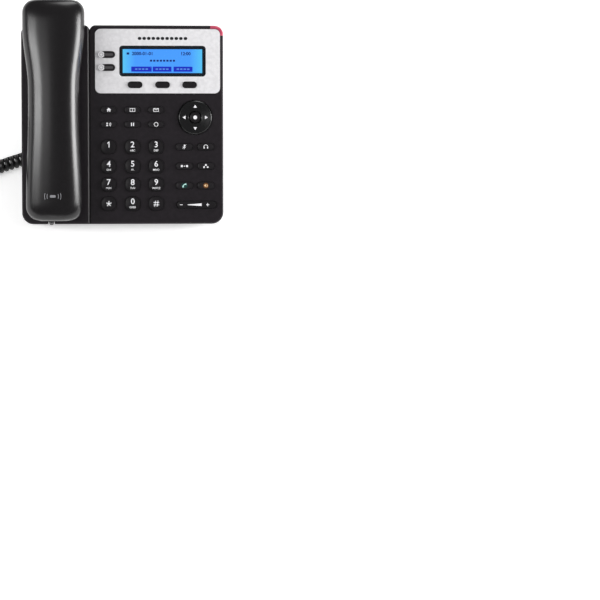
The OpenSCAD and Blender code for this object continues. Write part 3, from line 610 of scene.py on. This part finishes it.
def navigation_marks():
    middle, top = centre("nav_ring"), span("nav_ring")[1].z
    drawing = Flat()
    for k in range(4):
        turn = Matrix.Rotation(math.radians(90 * k), 2)
        drawing.poly([turn @ Vector(p) for p in ARROW])
    drawing.make("mark_nav_ring", middle.x, middle.y, top - RING_LIP, WHITE, "nav_ring", level=ring_level)
    mark(Flat().disc(0, 0, 1.75), "ok_key")


END_EDGE = 0.6
END_INSET = 0.5


def line_lamps():
    """A silver end with a small ringed lens, and a smoky inlay, on each line key."""
    for node in ("line_key_1", "line_key_2"):
        low, high = span(node)
        half = (high.x - low.x) / 2
        r = (high.y - low.y) / 2 - END_EDGE
        left = r + END_INSET - half
        mark(Flat().disc(0, 0, r), node, LOOKS["silver_panel"], "end_" + node, dx=left, lift=PATCH_GAP)
        mark(Flat().arc(0, 0, 1.5, 0.4, 0, 360), node, GREY, "lens_" + node, dx=left)
        mark(Flat().pill(0, 0, 8.4, 2.3), node, SMOKE, "inlay_" + node, dx=1.9)


SIGN_U = -64.6
SIGN_V = 22.6  # from the handset's near end
SIGN_GAP = 0.12


def handset_mark():
    """A plain sound sign near the mouthpiece: a bar between two pairs of arcs."""
    u, v = SIGN_U, span("handset_back")[0].y + SIGN_V
    points = [TO_FACE @ p.co for p in NODES["handset_back"].data.vertices]
    top = max(p.z for p in points if abs(p.y - v) < 6 and abs(p.x - u) < 5)
    drawing = Flat().pill(0, 0, 5.4, 2.3)
    for side in (0, 180):
        drawing.arc(0, 0, 5.2, 0.55, side - 24, side + 24).arc(0, 0, 7.4, 0.55, side - 22, side + 22)
    drawing.make("mark_handset", u, v, top + SIGN_GAP, GREY, "handset")


handset_mark()
digit_marks()
function_marks()
cluster_marks()
volume_marks()
navigation_marks()
line_lamps()


# ---------------------------------------------------------------- display

SCREEN_EDGE = 6.2
WINDOW_EDGE = 1.6
LIGHT_DEPTH, WORDS_DEPTH, BARS_DEPTH = 0.07, 0.04, 0.02  # under the window
LABELS = ((-19.3, 18.7), (-0.4, 17.2), (18.8, 17.4))  # middle and width of each soft key's label


def screen_words():
    text = Flat().box(-31.6, 6.9, 2.4, 1.9).words("2000-01-01", -18.6, 6.9, 3.2, 0.03)
    text.words("12:00", 21.5, 6.9, 3.2, 0.03)
    for k in range(8):
        text.box(-10.5 + 3 * k, 0.4, 2.0, 1.7)
    return text


def make_screen():
    """The lit display under the window: backlight, border, generic words and three labels."""
    low, high = span("lcd_window")
    u, v, under = (low.x + high.x) / 2, (low.y + high.y) / 2, low.z
    width, height = high.x - low.x, high.y - low.y
    blue_w, blue_h = width - SCREEN_EDGE, height - SCREEN_EDGE
    Flat().box(0, 0, blue_w, blue_h).make("screen_light", u, v, under - LIGHT_DEPTH, SCREEN, "base")
    out_w, out_h = width - WINDOW_EDGE, height - WINDOW_EDGE
    border = Flat().frame(0, 0, out_w, out_h, (out_h - blue_h) / 2)
    border.make("screen_border", u, v, under - LIGHT_DEPTH, BORDER, "base")
    screen_words().make("screen_words", u, v, under - WORDS_DEPTH, NAVY, "base")
    labels, bars = Flat(), Flat()
    for x, w in LABELS:
        labels.box(x, -7.3, w, 4.6)
        for k in range(4):
            bars.box(x + (k - 1.5) * 3.2, -7.3, 2.2, 1.3)
    labels.make("screen_labels", u, v, under - WORDS_DEPTH, LABEL, "base")
    bars.make("screen_label_marks", u, v, under - BARS_DEPTH, LABEL_MARK, "base")


DOTS_U = 36.6
DOTS_DOWN = 8.6


def panel_mark():
    """A plain row of dots above the window."""
    high = span("display_bezel")[1]
    drawing = Flat()
    for k in range(11):
        drawing.pill((k - 5) * 4.2, 0, 3.4, 2.8, 5)
    drawing.make("panel_dots", DOTS_U, high.y - DOTS_DOWN, high.z + MARK_GAP, DARK, "base")


make_screen()
panel_mark()


# ---------------------------------------------------------------- light and floor

# Name, place and aim in the face's frame, width, height, watts
LIGHTS = [
    ("left_softbox", (-860, 145, 600), (-60, 145, 0), 0.66, 0.17, 4.6),
    ("left_wide", (-560, 140, 1000), (-60, 140, 0), 0.8, 0.3, 1.4),
    ("right_softbox", (890, 140, 290), (-60, 135, 20), 0.46, 0.3, 8),
    ("front_soft", (150, -1300, 450), (0, 90, 0), 1.2, 0.5, 4),
    ("back_soft", (500, 1700, 250), (0, 90, 0), 1.4, 0.6, 12)]
SKY = 0.22
FLOOR_GLOW = 0.5
FLOOR_HALF = 6


def area_light(name, place, aim, width, height, watts):
    data = bpy.data.lights.new(name, "AREA")
    data.energy, data.shape, data.size, data.size_y = watts, "RECTANGLE", width, height
    lamp = bpy.data.objects.new(name, data)
    bpy.context.scene.collection.objects.link(lamp)
    lamp.matrix_world = facing(at(*place), at(*aim))


def floor_material():
    material = plastic("floor_pale", (0.9, 0.9, 0.9), 0.7, 200, 0.05, tint=0.01)
    shader = material.node_tree.nodes["Principled BSDF"]
    shader.inputs["Emission Color"].default_value = (1, 1, 1, 1)
    shader.inputs["Emission Strength"].default_value = FLOOR_GLOW
    return material


def make_stage():
    corners = [(x * FLOOR_HALF, y * FLOOR_HALF, 0) for x, y in ((-1, -1), (1, -1), (1, 1), (-1, 1))]
    floor = piece("floor", corners, [(0, 1, 2, 3)], floor_material())
    world = bpy.data.worlds.new("studio")
    world.use_nodes = True
    world.node_tree.nodes["Background"].inputs["Color"].default_value = (1, 1, 1, 1)
    world.node_tree.nodes["Background"].inputs["Strength"].default_value = SKY
    bpy.context.scene.world = world
    for light in LIGHTS:
        area_light(*light)


make_stage()
bpy.context.scene.view_settings.view_transform = "Standard"
